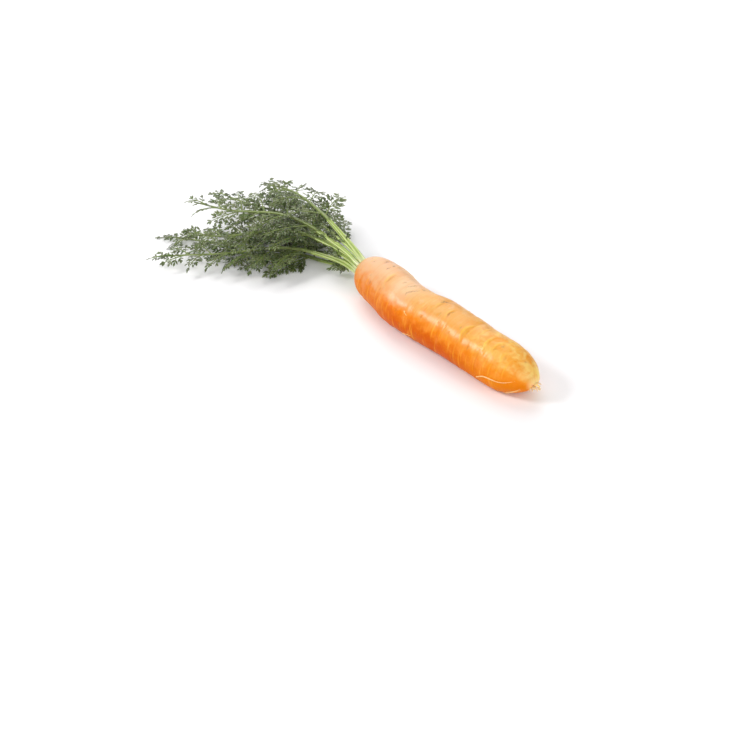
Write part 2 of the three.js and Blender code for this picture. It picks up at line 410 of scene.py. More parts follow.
def skin_material():
    s = Shader("carrot_skin")
    even = s.coordinates()
    rings = s.coordinates((1.0, 0.1, 0.1))
    x = s.from_crown(even)
    broad = s.noise(even, 0.05, 2.0)
    patch = s.noise(even, 0.16, 3.0)
    streak = s.noise(rings, 0.9, 4.0, 0.7)
    fine = s.noise(rings, 2.6, 2.0, 0.6)
    # The deep colour is the skin on its lower side: painted shade, darker and more saturated, along with
    # the skin's own streaks and tints.
    deep = s.ramp(broad, [(0.3, "E87604"), (0.7, "EF8908")])
    deep = s.blend(s.span(streak, 0.5, 0.8, 0.0, 0.5), deep, rgb("F59C04"))
    deep = s.blend(s.span(streak, 0.47, 0.25, 0.0, 0.5), deep, rgb("DE6200"))
    # The pale colour is the same skin on its upper side: painted light, paler peach, along with the skin's
    # own patches, streaks and tints along the root.
    lit_skin = s.ramp(broad, [(0.3, "DE9C4A"), (0.52, "E2AA5A"), (0.75, "E2AE68")])
    lit_skin = s.blend(s.span(patch, 0.55, 0.7, 0.0, 0.55), lit_skin, rgb("E89226"))
    lit_skin = s.blend(s.span(patch, 0.46, 0.3, 0.0, 0.5), lit_skin, rgb("EACA9C"))
    lit_skin = s.blend(s.span(streak, 0.52, 0.74, 0.0, 0.6), lit_skin, rgb("F0C684"))
    lit_skin = s.blend(s.span(streak, 0.48, 0.28, 0.0, 0.6), lit_skin, rgb("DC8630"))
    lit_skin = s.blend(s.span(x, 80.0, 14.0, 0.0, 0.82), lit_skin, rgb("E2B28A"))
    lit_skin = s.blend(s.span(x, 68.0, 96.0, 0.0, 0.35), lit_skin, rgb("E49834"))
    from_knee = s.math("ABSOLUTE", s.math("SUBTRACT", x, 52.0))
    lit_skin = s.blend(s.span(from_knee, 15.0, 3.0, 0.0, 0.45), lit_skin, rgb("F0D0AE"))
    lit_skin = s.blend(s.span(x, 115.0, 145.0, 0.0, 0.6), lit_skin, rgb("F3B550"))
    # How far up towards the top a point lies, a little broken up: it sets where the painted light and the
    # painted shade fall.
    height = s.math("ADD", s.mask("upper"), s.span(patch, 0.25, 0.75, -0.09, 0.09))
    # Painted shade: the underside is darkened further, most in the crown half.
    shaded_underside = s.times(s.span(height, 0.7, 0.3), s.span(x, 146.0, 100.0, 0.25, 0.85))
    deep = s.blend(s.span(x, 80.0, 125.0, 0.0, 0.5), deep, rgb("F49604"))
    deep = s.blend(shaded_underside, deep, rgb("C84C00"))
    deep = s.blend(s.span(x, 60.0, 12.0, 0.0, 0.65), deep, rgb("DC8022"))
    # Painted light: near the crown and towards the tip the paler top reaches a little further down.
    height = s.math("ADD", height, s.span(x, 75.0, 20.0, 0.0, 0.05))
    height = s.math("ADD", height, s.span(x, 105.0, 135.0, 0.0, 0.07))
    mottle = s.noise(even, 0.17, 2.6, 0.55, 0.8)
    towards_tip = s.span(x, 95.0, 140.0)
    lit_skin = s.blend(s.times(s.span(mottle, 0.46, 0.7), towards_tip), lit_skin, rgb("F3C970"))
    lit_skin = s.blend(s.times(s.span(mottle, 0.5, 0.3, 0.0, 0.9), towards_tip), lit_skin, rgb("EA921E"))
    # Painted light and painted shade: the top takes the pale colour, the lower side the deep one.
    base = s.blend(s.span(height, 0.56, 0.95), deep, lit_skin)
    base = s.blend(s.span(fine, 0.55, 0.75, 0.0, 0.22), base, rgb("FFB018"))
    # Ochre in the dents: partly the skin's own tint, partly painted shade in the hollows.
    base = s.blend(s.times(s.mask("dent_ochre_shade"), 0.68), base, rgb("E89C22"))
    base = s.blend(s.times(s.mask("lip"), 0.6), base, rgb("FFC444"))
    # Painted shade: darker orange in the creases, darkest where they are deepest.
    base = s.blend(s.times(s.mask("crease_shade"), 0.42), base, rgb("D4700F"))
    base = s.blend(s.span(s.mask("shoulder"), 0.1, 0.9, 0.0, 0.5), base, rgb("DDA548"))
    tip = s.times(s.span(x, 153.0, 162.0), s.span(s.mask("far_side"), 0.3, 0.9))
    tip = s.times(tip, s.span(mottle, 0.35, 0.55, 0.45, 0.95))
    base = s.blend(tip, base, rgb("FFDE76"))
    base = s.blend(s.span(x, 162.0, 165.0, 0.0, 0.85), base, rgb("FFDC98"))
    dark = s.ramp(patch, [(0.42, "9A5A32"), (0.58, "94703E")])
    spotty = s.span(s.noise(even, 0.9, 2.0), 0.32, 0.58, 0.45, 1.0)
    base = s.blend(s.times(s.mask("mark"), spotty), base, dark)
    corky = s.ramp(s.noise(even, 0.7, 3.0, 0.65), [(0.35, "8E6A2E"), (0.5, "B88C40"), (0.66, "CFA95C")])
    base = s.blend(s.times(s.mask("rim"), 0.85), base, corky)
    base = s.blend(s.mask("scar"), base, rgb("7A6A34"))
    s.set(Base_Color=base)
    grain = s.noise(even, 1.1, 3.0, 0.6)
    s.set(Roughness=s.span(grain, 0.3, 0.7, 0.34, 0.46))
    relief = s.bump(streak, 0.35, 0.4)
    relief = s.bump(fine, 0.25, 0.2, relief)
    s.set(Normal=s.bump(grain, 0.2, 0.3, relief))
    s.set(Subsurface_Weight=0.15, Subsurface_Radius=(1.0, 0.45, 0.1), Subsurface_Scale=0.002)
    s.set(Specular_IOR_Level=0.05, Specular_Tint=(1.0, 0.8, 0.5, 1.0))
    s.set(Coat_Weight=s.span(height, 0.38, 0.72, 0.02, 0.34), Coat_Roughness=0.3, Coat_IOR=1.8)
    return s.material


def stalk_material():
    s = Shader("leaf_stalk")
    x = s.from_crown(s.coordinates())
    fibre = s.noise(s.coordinates((0.06, 1.0, 1.0)), 1.6, 3.0)
    green = s.ramp(fibre, [(0.3, "688014"), (0.55, "88A034"), (0.8, "AEC25C")])
    base = s.blend(s.times(s.mask("ridge"), 0.8), green, rgb("DDE8A6"))
    base = s.blend(s.span(x, -14.0, 1.0, 0.0, 0.75), base, rgb("F0F1CC"))
    base = s.blend(s.span(x, -38.0, -66.0, 0.0, 0.65), base, rgb("7A9340"))
    s.set(Base_Color=base)
    s.set(Roughness=s.span(fibre, 0.3, 0.7, 0.34, 0.5))
    s.set(Normal=s.bump(fibre, 0.3, 0.3))
    s.set(Subsurface_Weight=0.25, Subsurface_Radius=(0.6, 1.0, 0.25), Subsurface_Scale=0.002)
    return s.material


def frond_material():
    s = Shader("frond")
    even = s.coordinates()
    broad = s.noise(even, 0.06, 2.0)
    green = s.ramp(broad, [(0.3, "343F16"), (0.5, "515E28"), (0.72, "7E8856")])
    grain = s.noise(even, 0.8, 3.0)
    # Painted highlight: pale grey-green glints scattered over the leaves.
    green = s.blend(s.span(grain, 0.5, 0.72, 0.0, 0.7), green, rgb("AAB292"))
    base = s.blend(s.times(s.mask("rib"), 0.75), green, rgb("7F9048"))
    s.set(Base_Color=base)
    s.set(Roughness=s.span(grain, 0.3, 0.7, 0.28, 0.44), Specular_IOR_Level=0.65)
    s.set(Normal=s.bump(grain, 0.3, 0.2))
    s.set(Subsurface_Weight=0.15, Subsurface_Radius=(0.4, 1.0, 0.15), Subsurface_Scale=0.001)
    return s.material


def hair_material():
    s = Shader("root_hair")
    grain = s.noise(s.coordinates(), 0.7, 2.0)
    on_skin = s.ramp(grain, [(0.35, "FABA68"), (0.6, "FFD090")])
    at_tip = s.ramp(grain, [(0.35, "F3C584"), (0.6, "FADCA8")])
    dry = s.ramp(grain, [(0.35, "8C6E38"), (0.6, "B89A5A")])
    base = s.blend(s.span(s.mask("rib"), 0.0, 0.5), on_skin, dry)
    s.set(Base_Color=s.blend(s.span(s.mask("rib"), 0.5, 1.0), base, at_tip))
    s.set(Roughness=0.5, Subsurface_Weight=0.2, Subsurface_Radius=(1.0, 0.7, 0.3), Subsurface_Scale=0.001)
    return s.material


def floor_material():
    s = Shader("studio_floor")
    cloud = s.noise(s.coordinates(), 0.004, 1.0)
    s.set(Base_Color=s.ramp(cloud, [(0.3, "F8F8FA"), (0.7, "FAFAFB")]), Roughness=0.75)
    return s.material


# The root.

# Arcs where the skin has folded: a pale lip on the crown's side, then a dent that runs out towards the tip.
CRESCENTS = [  # x, angle round the root, half reach in degrees, bow, depth
    (92.8, 102, 24, 1.6, 0.30),
    (111, 117, 33, 4.2, 0.50),
    (129, 110, 30, 2.6, 0.42),
    (135.5, 108, 24, 3.0, 0.30),
    (144, 118, 26, 3.5, 0.28),
    (82, 96, 22, 1.5, 0.22),
    (70, 210, 30, 3.0, 0.28),
    (112, 250, 34, 4.0, 0.35),
    (60, 330, 32, 3.5, 0.32),
    (128, 10, 30, 4.5, 0.36),
    (94, 30, 26, 3.0, 0.26),
    (40, 20, 28, 3.0, 0.25),
    (37, 107, 27, 1.5, 0.3),
    (142, 190, 26, 3.0, 0.2),
]
CRESCENT_FADE = 5.0  # how far the dent runs out
CRESCENT_LIP_BACK = 1.1
CRESCENT_LIP_WIDTH = 0.8
CRESCENT_FULL = 0.45  # the depth that shows its colour in full

# Short dark creases: how dark, then (x, angle) points of the line on the skin.
DARK_MARKS = [
    (0.6, [(12.8, 103), (14.0, 95)]),
    (0.9, [(27.4, 98), (28.2, 84)]),
    (0.9, [(27.8, 80), (27.4, 70)]),
    (0.8, [(20.5, 87), (19.3, 65)]),
    (0.3, [(36.3, 127), (37.5, 115), (38.4, 106), (39.2, 95), (40.4, 84)]),
    (0.8, [(47.7, 95), (48.5, 86)]),
    (0.9, [(52.2, 100), (53.8, 88), (55.4, 75)]),
    (0.85, [(56.6, 115), (57.0, 107), (58.7, 97), (61.1, 84)]),
    (1.0, [(60.7, 76), (63.5, 70)]),
    (1.0, [(80.6, 91), (81.4, 80), (85.5, 73)]),
    (0.8, [(93.6, 113), (92.8, 102), (94.4, 92)]),
    (0.4, [(154.9, 92), (154.6, 82)]),
    (0.4, [(134.2, 121), (136.6, 112)]),
    (0.5, [(137.5, 104), (139.0, 93)]),
    (0.7, [(34, 335), (36, 350)]),
    (0.6, [(66, 10), (67.5, 24)]),
    (0.7, [(101, 318), (102, 340)]),
    (0.6, [(88, 262), (90, 280)]),
    (0.6, [(49, 238), (50, 250)]),
    (0.6, [(123, 38), (124, 52)]),
]
MARK_WIDTH = 0.62
MARK_LIP_BACK = 1.2
SIDE_ROOT_MARKS = 64
SIDE_ROOT_MARK_WIDTH = 0.55
FINE_LINES = 260
WRINKLE_PITCH = 3.1
WRINKLE_START = 10
WRINKLE_WIDTH = 0.8
WRINKLE_SIDES = (170, 290, 50)  # the angles that the wrinkles are centred on
PALE_LINE_WIDTH = 0.42
PALE_LINE_BACK = 1.1  # from a wrinkle to the pale line beside it
LIT_SIDE_TURN = -12  # the painted light of the upper side is turned this much from the top
FAR_TURN = 12  # the tip's yellow is turned this much from the far side
LUMPS = ((0.6, 17), (0.2, 6.5))  # height and size of the form's slow unevenness

# The crown: how far past the rim the corky ring and the ochre shoulder reach, and over what they fade.
CORKY_REACH, CORKY_FADE = 2.9, 2.4
OCHRE_REACH, OCHRE_FADE = 6.5, 5.0
SCAR_RING_AT, SCAR_RING_WIDTH = 1.2, 0.8
FIRST_STATIONS = [0.0, 0.01, 0.03, 0.07, 0.12]  # close rings, for a crisp rim
STATION_EASE = 0.45  # how much closer the rings stand towards both ends
SKIN_FLOOR = 0.15  # the least height of a point on the skin


def rounding(t):
    """0 at an end, 1 a full rounding length in from it."""
    return np.sqrt(1 - (1 - clamp01(t)) ** FULLNESS)


def body_radius(x):
    swelling = 0.35 * np.sin(x / 11 + 0.8) + 0.2 * np.sin(x / 5.3)
    waist = WAIST * bell(x - WAIST_AT, WAIST_WIDTH)
    return mix(CROWN_RADIUS, END_RADIUS, x / ROOT_LENGTH) + swelling - waist


def root_radius(x):
    shoulder = mix(RIM_RADIUS, body_radius(x), rounding(x / SHOULDER_LENGTH))
    return mix(TAIL_RADIUS, shoulder, rounding((ROOT_LENGTH - x) / TIP_LENGTH))


def root_middle(x):
    """The sideways place and the height of the root's middle."""
    tip = smooth((x - ROOT_LENGTH + TIP_TURN_LENGTH) / TIP_TURN_LENGTH)
    kink = bell(x - BEND_AT, BEND_WIDTH)
    low = mix(CROWN_RADIUS, END_RADIUS, clamp01(x / ROOT_LENGTH)) - FLAT_SINK
    return TIP_SWAY * tip - BEND * kink, low - TIP_DROP * tip


def surface(x, angle, radius):
    """Points of the root's skin at these angles and distances from its middle."""
    y, z = root_middle(x)
    past = smooth((x - TIP_RISE_FROM) / (ROOT_LENGTH - TIP_RISE_FROM))
    rise = TIP_RISE * past * (0.5 - 0.5 * np.sin(angle))
    height = np.maximum(z + radius * np.sin(angle) + rise, 0.0)
    return np.stack([x + 0 * radius, y + radius * np.cos(angle), height], axis=-1)


def off_angle(angle, at):
    return (angle - at + np.pi) % (2 * np.pi) - np.pi


def groove(x, angle, at, at_angle, reach, width, bow=0.0):
    """1 on a short line across the root, 0 away from it."""
    off = off_angle(angle, at_angle)
    line = at + bow * (off / reach) ** 2
    return bell(x - line, width) * smooth(1 - np.abs(off) / reach)


def near_line(x, angle, points, width):
    """1 on a wavering line through (x, angle in degrees) points, thin at its ends, 0 away from it."""
    nearest = np.full_like(x, 1e6)
    thickness = np.ones_like(x)
    round_scale = math.radians(1) * END_RADIUS
    waver = 0.32 * np.sin(17 * angle + 0.9 * x) + 0.22 * np.sin(41 * angle - 1.7 * x)
    steps = len(points) - 1
    for i, ((x0, a0), (x1, a1)) in enumerate(zip(points, points[1:])):
        along = np.array([x1 - x0, (a1 - a0) * round_scale])
        off_x = x - x0 + waver
        off_round = off_angle(angle, math.radians(a0)) * END_RADIUS
        share = clamp01((off_x * along[0] + off_round * along[1]) / (along @ along))
        away = np.hypot(off_x - share * along[0], off_round - share * along[1])
        swell = 0.45 + 0.55 * np.sin(np.pi * (i + share) / steps)
        thickness = np.where(away < nearest, swell, thickness)
        nearest = np.minimum(nearest, away)
    return bell(nearest, width * thickness) * thickness


def add_wrinkles(x, angle, depth, crease_shade, lip):
    """Fine lines across the root, each part of the way round, with a pale line beside it."""
    for i in range(int((ROOT_LENGTH - 2 * WRINKLE_START) / WRINKLE_PITCH)):
        for side in WRINKLE_SIDES:
            at = WRINKLE_START + (i + draw.uniform(-0.4, 0.4)) * WRINKLE_PITCH
            turn = math.radians(side) + draw.normal(0, 0.35)
            reach = math.radians(draw.uniform(16, 50))
            bow = draw.uniform(-0.3, 1.6)
            here = groove(x, angle, at, turn, reach, WRINKLE_WIDTH, bow)
            deep = draw.uniform(0.01, 0.075)
            depth += deep * here
            crease_shade[:] = np.maximum(crease_shade, 4 * deep * here)
            beside = groove(x, angle, at - PALE_LINE_BACK, turn, reach * 0.8, PALE_LINE_WIDTH, bow)
            lip[:] = np.maximum(lip, draw.uniform(0.1, 0.95) * beside)


def root_relief(x, angle):
    """How deep each point lies under the plain form, and the colour masks."""
    depth = np.zeros_like(x)
    # The crease mask is painted shade: the deeper a crease, the darker it is coloured.
    crease_shade = np.zeros_like(x)
    for i in range(CREASES):
        at = mix(*CREASE_SPAN, (i + 0.5 * scatter(i, 37)) / CREASES)
        turn = math.radians(360 * scatter(i, 61))
        reach = math.radians(mix(*CREASE_REACH, scatter(i, 23)))
        bow = mix(0.5, 2.5, scatter(i, 53))
        here = groove(x, angle, at, turn, reach, CREASE_WIDTH, bow)
        core = groove(x, angle, at, turn, reach, CREASE_CORE, bow)
        share = mix(0.45, 1, scatter(i, 79))
        depth += CREASE_DEPTH * share * (0.5 * here + 0.06 * core)
        crease_shade = np.maximum(crease_shade, 0.7 * share * core)
    for _ in range(FINE_LINES):
        at, turn = draw.uniform(4, ROOT_LENGTH - 6), draw.uniform(0, 2 * np.pi)
        reach = math.radians(draw.uniform(12, 60))
        width, deep, bow = draw.uniform(0.45, 0.9), draw.uniform(0.02, 0.09), draw.uniform(-0.5, 2.0)
        here = groove(x, angle, at, turn, reach, width, bow)
        depth += deep * here
        crease_shade = np.maximum(crease_shade, 3.5 * deep * here)
    dent_ochre_shade, lip = np.zeros_like(x), np.zeros_like(x)
    add_wrinkles(x, angle, depth, crease_shade, lip)
    mark = np.zeros_like(x)
    for k in range(SIDE_ROOT_MARKS):
        # Side roots grow out in four rows, so the marks that they leave lie near four lines.
        turn = math.radians(45 + 90 * (k % 4)) + draw.normal(0, 0.3)
        at, reach = draw.uniform(8, ROOT_LENGTH - 12), math.radians(draw.uniform(4, 9))
        here = groove(x, angle, at, turn, reach, SIDE_ROOT_MARK_WIDTH)
        depth += 0.2 * here - 0.12 * groove(x, angle, at + 1.0, turn, reach * 1.3, 0.6)
        mark = np.maximum(mark, draw.uniform(0.15, 0.6) * here)
    for strength, points in DARK_MARKS:
        here = near_line(x, angle, points, MARK_WIDTH)
        depth += 0.1 * here - 0.05 * near_line(x - MARK_LIP_BACK, angle, points, MARK_WIDTH)
        mark = np.maximum(mark, strength * here)
    for at, turn, reach, bow, deep in CRESCENTS:
        off = off_angle(angle, math.radians(turn)) / math.radians(reach)
        past = x - at - bow * off**2
        fade = smooth(1.15 - np.abs(off))
        dent = smooth((past + 0.4) / 1.4) * np.exp(-np.maximum(past, 0) / CRESCENT_FADE) * fade
        rise = bell(past + CRESCENT_LIP_BACK, CRESCENT_LIP_WIDTH) * fade
        depth += deep * dent - 0.4 * deep * rise
        # The dents' ochre is partly the skin's own tint, partly painted shade, strongest where the dent is
        # deepest.
        dent_ochre_shade = np.maximum(dent_ochre_shade, dent * deep / CRESCENT_FULL)
        lip = np.maximum(lip, rise * deep / CRESCENT_FULL)
    return depth, {"crease_shade": clamp01(crease_shade), "mark": mark, "dent_ochre_shade": clamp01(dent_ochre_shade), "lip": clamp01(lip)}


def lump(point):
    return sum(height * noise.noise(Vector(point / size)) for height, size in LUMPS)


def lumps(points):
    values = [lump(point) for point in points.reshape(-1, 3)]
    return np.array(values).reshape(points.shape[:2])


def build_root(material):
    shares = np.linspace(0, 1, ROOT_STATIONS)
    eased = ROOT_LENGTH * (1 - np.cos(np.pi * shares)) / 2
    outer = mix(shares * ROOT_LENGTH, eased, STATION_EASE)
    outer = np.concatenate([FIRST_STATIONS, outer[1:]])
    bowl = np.linspace(0.06, 0.97, BOWL_STATIONS)
    tail = np.linspace(0.08, 1, TAIL_STATIONS)
    x = np.concatenate([DIMPLE_DEPTH * (1 - bowl**5), outer, ROOT_LENGTH + TAIL_LENGTH * tail])
    tail_radius = mix(TAIL_RADIUS, TAIL_END_RADIUS, tail**0.8)
    radius = np.concatenate([RIM_RADIUS * bowl, root_radius(outer), tail_radius])[:, None]
    in_bowl = np.concatenate([bowl, 0 * outer, 0 * tail])[:, None]
    inside = np.sign(in_bowl)
    turn = np.linspace(0, 2 * np.pi, ROOT_SIDES, endpoint=False)
    grid_x, grid_turn = np.meshgrid(x, turn, indexing="ij")
    depth, masks = root_relief(grid_x, grid_turn)
    # The relief runs out at the rim and at the tail.
    outside = (1 - inside) * smooth(grid_x / 2.0) * smooth((ROOT_LENGTH + 1 - grid_x) / 6)
    flesh = np.stack([grid_x, radius * np.cos(grid_turn), radius * np.sin(grid_turn)], axis=2)
    radius = radius - depth * outside + lumps(flesh) * outside
    scar = inside * (0.5 + 0.5 * np.sin(grid_turn * 3 + 14 * in_bowl))
    scar = scar + bell(grid_x - SCAR_RING_AT, SCAR_RING_WIDTH) * outside * 0.6
    masks = {name: values * outside for name, values in masks.items()}
    masks["scar"] = clamp01(scar) * 0.8
    near_crown = grid_x < SHOULDER_LENGTH / 2
    masks["rim"] = smooth((RIM_RADIUS + CORKY_REACH - radius) / CORKY_FADE) * near_crown
    masks["shoulder"] = smooth((RIM_RADIUS + OCHRE_REACH - radius) / OCHRE_FADE) * near_crown
    rings = 0.22 * np.sin(3.3 * radius + 1.5 * np.sin(2 * grid_turn + 1))
    rings = rings + 0.14 * np.sin(9 * grid_turn + 2 * radius)
    grid_x = grid_x - rings * masks["rim"] * (1 - inside)
    # Painted light: highest on the top, turned by the turn above; it sets the pale top and, with it, the
    # painted shade below.
    masks["upper"] = 0.5 + 0.5 * np.sin(grid_turn - math.radians(LIT_SIDE_TURN))
    masks["far_side"] = 0.5 + 0.5 * np.cos(grid_turn + math.radians(FAR_TURN))
    points = surface(grid_x, grid_turn, radius)
    masks = {name: np.concatenate([values.ravel(), [0, 0]]) for name, values in masks.items()}
    return make_object("root_skin", with_ends(points), loft_faces(len(x), ROOT_SIDES), material, masks)


def on_root(x, degrees, lift=0.0):
    """A point on the root's skin."""
    turn = math.radians(degrees)
    radius = root_radius(np.float64(x))
    radius += lift + lump(np.array([x, radius * math.cos(turn), radius * math.sin(turn)]))
    point = surface(np.float64(x), turn, radius)
    point[2] = max(point[2], SKIN_FLOOR)
    return point


# The leaves.

RIDGES = 5
RIDGE_HEIGHT = 0.12
LOBE_OUTLINE = [(0.0, 0.35), (0.3, 0.85), (0.6, 1.0), (0.84, 0.62)]  # share of the length, of the width
RIB_OUTLINE = [(0.0, 1.0), (0.35, 0.85), (0.7, 0.65)]
LOBE_THICKNESS = 0.16
LOBE_PITCH = 3.6
WIDEST_LOBE = 1.9
SHORTEST_LOBE = 3.2
END_LOBE_WIDTH = 1.6
END_LOBE_AT, END_LOBE_DROP = 0.8, 0.64  # on the side rib, as a share and as its square
SIDE_RIB_PITCH = 5.0
SIDE_RIB_WIDTH = 0.55
SIDE_RIB_THICKNESS = SIDE_RIB_WIDTH * 0.45
SHORTEST_SIDE_RIB = 3.5
LEAFLET_RIB = (0.55, 0.22)  # radii at its start and its end
RIB_FLOOR = 0.5  # the least height of a leaflet's rib
BLADE, SIDE_RIB, RIB = 0.0, 0.6, 1.0  # the frond's mask


def level_gap(x, y):
    """The room between two levels of the pile at a place in plan."""
    away = clamp01((np.hypot(x, y) - LIFT_LENGTH) / (PILE_LENGTH - LIFT_LENGTH))
    wave = 1 + WAVE * np.sin(x / WAVE_SIZES[0]) * np.cos(y / WAVE_SIZES[1])
    return LEVEL_GAP * (1 - LEVEL_FALL * away) * wave


def level_height(level, x, y):
    return LOW_LEVEL + level * level_gap(x, y)


def leaf_line(leaf):
    """Points along the middle of a leaf, from the crown out, one a millimetre of its length."""
    crown_y, crown_z = root_middle(np.float64(0))
    turn = math.radians(leaf["at"])
    x, y = DIMPLE_DEPTH - GAP, crown_y + leaf["out"] * math.cos(turn)
    start_z = crown_z + leaf["out"] * math.sin(turn)
    line = []
    for s in range(leaf["length"] + 1):
        z = mix(start_z, level_height(leaf["level"], x, y), smooth(s / LIFT_LENGTH))
        line.append((x, y, z))
        lean = LEAN * smooth(s / LEAN_LENGTH) * (1 - smooth(s / LIFT_LENGTH))
        heading = math.radians(lean + leaf["heading"] * smooth(s / TURN_LENGTH))
        x -= math.cos(heading)
        y += math.sin(heading)
    return np.array(line)


def leaf_frame(line, s):
    """The place, the way on, the way to the side and the way up at a point of the line."""
    i = int(min(max(round(s), 1), len(line) - 2))
    on = line[i + 1] - line[i - 1]
    on /= np.linalg.norm(on)
    side = np.cross(on, (0, 0, 1.0))
    side /= np.linalg.norm(side)
    share = min(max(s, 0), len(line) - 1)
    low = int(min(share, len(line) - 2))
    return mix(line[low], line[low + 1], share - low), on, side, np.cross(side, on)


def stalk_size(s):
    """The width and the thickness of a stalk this far from the crown."""
    to_neck, past_neck = smooth(s / NECK_AT), smooth((s - NECK_AT) / (2 * NECK_AT))
    sizes = zip(STALK_BASE, STALK_NECK, STALK_END)
    return [mix(mix(base, neck, to_neck), end, past_neck) for base, neck, end in sizes]


def build_stalk(k, leaf, material):
    line = leaf_line(leaf)
    # The flat base of a stalk lies round the crown, and the stalk turns level as it goes out.
    tangent = (leaf["at"] + 180) % 180 - 90
    turn = np.pi / 2 + np.linspace(0, 2 * np.pi, STALK_SIDES, endpoint=False)
    in_groove = bell(np.cos(turn), GROOVE_WIDTH) * (np.sin(turn) > 0)
    ribbing = np.cos(turn * RIDGES + k) * (0.35 + 0.65 * smooth((0.7 - np.sin(turn)) / 0.5))
    bulge = 1 + RIDGE_HEIGHT * ribbing
    rings = []
    for s in np.linspace(0, STALK_LENGTH, STALK_STATIONS):
        centre, _, side, up = leaf_frame(line, s)
        width, thick = stalk_size(s)
        sunk = GROOVE * smooth(s / NECK_AT) * in_groove
        roll = -math.radians(tangent) * (1 - smooth(s / STALK_LENGTH))
        across = -width / 2 * np.cos(turn) * bulge
        rise = thick / 2 * np.sin(turn) * bulge * (1 - sunk * 1.15)
        across, rise = (
            across * math.cos(roll) - rise * math.sin(roll),
            across * math.sin(roll) + rise * math.cos(roll),
        )
        rings.append(centre + across[:, None] * side + rise[:, None] * up)
    rings = np.array(rings)[:, ::-1]
    ridge = np.tile(smooth(0.45 + 0.75 * ribbing)[::-1], STALK_STATIONS)
    masks = {"ridge": np.concatenate([ridge, [0, 0]])}
    faces = loft_faces(STALK_STATIONS, STALK_SIDES)
    return make_object(f"leaf_stalk_{k}", with_ends(rings), faces, material, masks)


def turned(on, side, up, yaw, pitch):
    """The way on, to the side and up of a branch that leaves at this yaw and pitch."""
    flat = on * math.cos(yaw) + side * math.sin(yaw)
    out = flat * math.cos(pitch) + up * math.sin(pitch)
    across = np.cross(out, up)
    across /= np.linalg.norm(across)
    return out, across, np.cross(across, out)


def rolled(side, up, roll):
    return side * math.cos(roll) + up * math.sin(roll), up * math.cos(roll) - side * math.sin(roll)


def add_leaflet(gather, leaf, line, s, turn, length):
    """One leaflet of a frond: its rib, the side ribs in pairs, and narrow lobes along each."""
    origin, on, _, _ = leaf_frame(line, s)
    heading = math.atan2(on[1], on[0]) + turn
    sway = draw.normal(0, 0.10)
    droop = draw.uniform(-0.5, 2.0)
    lift = draw.uniform(0.0, 2.2)
    shares = np.linspace(0, 1, RIB_STEPS + 1)
    bend = heading + sway * shares * 2
    step = length / RIB_STEPS
    x = origin[0] + np.concatenate([[0], np.cumsum(np.cos(bend[:-1]) * step)])
    y = origin[1] + np.concatenate([[0], np.cumsum(np.sin(bend[:-1]) * step)])
    bow = BOW * level_gap(x, y) * np.sin(np.pi * shares / BOW_SPAN)
    z = level_height(leaf["level"], x, y) + bow + lift * np.sin(np.pi * shares) - droop * shares**2
    rib = np.stack([x, y, np.maximum(z, RIB_FLOOR)], axis=1)
    gather.tube(rib, mix(*LEAFLET_RIB, shares), 6, RIB)
    lobes, ribs = [], []
    pairs = max(3, round(length / SIDE_RIB_PITCH))
    leaflet_roll = draw.normal(0, 0.22)
    for i in range(pairs + 1):
        share = (i + 0.5) / (pairs + 0.7)
        place_on = min(0.1 + 0.88 * share, 0.985)
        at, way, across, above = leaf_frame(rib, place_on * RIB_STEPS)
        across, above = rolled(across, above, leaflet_roll)
        reach = (0.31 * length + 2) * (1 - 0.66 * share)
        for hand in (-1, 1) if i < pairs else (0,):
            yaw = hand * (math.radians(mix(56, 36, share)) + draw.normal(0, 0.08))
            pitch = draw.normal(0.10, 0.16)
            out, wide, high = turned(way, across, above, yaw, pitch)
            wide, high = rolled(wide, high, draw.normal(0, 0.25))
            side_length = reach * draw.uniform(0.88, 1.1) if hand else max(SHORTEST_SIDE_RIB, reach * 0.8)
            curl = draw.uniform(0.0, 0.22)
            add_side_rib(lobes, ribs, at, out, wide, high, side_length, curl)
    gather.blades(lobes, LOBE_THICKNESS, LOBE_OUTLINE, BLADE)
    gather.blades(ribs, SIDE_RIB_THICKNESS, RIB_OUTLINE, SIDE_RIB)


def add_side_rib(lobes, ribs, at, out, wide, high, length, curl):
    """One side rib of a leaflet, with pairs of narrow lobes along it and a single one at its end."""
    ribs.append((at, out, wide, high, length, SIDE_RIB_WIDTH, curl))
    pairs = max(1, round(length / LOBE_PITCH))
    for j in range(pairs):
        share = (j + 0.75) / (pairs + 0.6)
        base = at + out * length * share - high * curl * length * share**2
        lobe = max(SHORTEST_LOBE, 0.55 * length * (1 - 0.5 * share))
        for hand in (-1, 1):
            yaw = hand * (math.radians(mix(46, 32, share)) + draw.normal(0, 0.12))
            way, across, above = turned(out, wide, high, yaw, draw.normal(-0.5 * curl, 0.2))
            size = lobe * draw.uniform(0.8, 1.15)
            width = min(WIDEST_LOBE, 0.8 + 0.18 * size)
            lobes.append((base, way, across, above, size, width, draw.uniform(-0.2, 0.45)))
    end = at + out * length * END_LOBE_AT - high * curl * length * END_LOBE_DROP
    lobes.append((end, out, wide, high, max(SHORTEST_LOBE, 0.4 * length), END_LOBE_WIDTH, curl + 0.1))


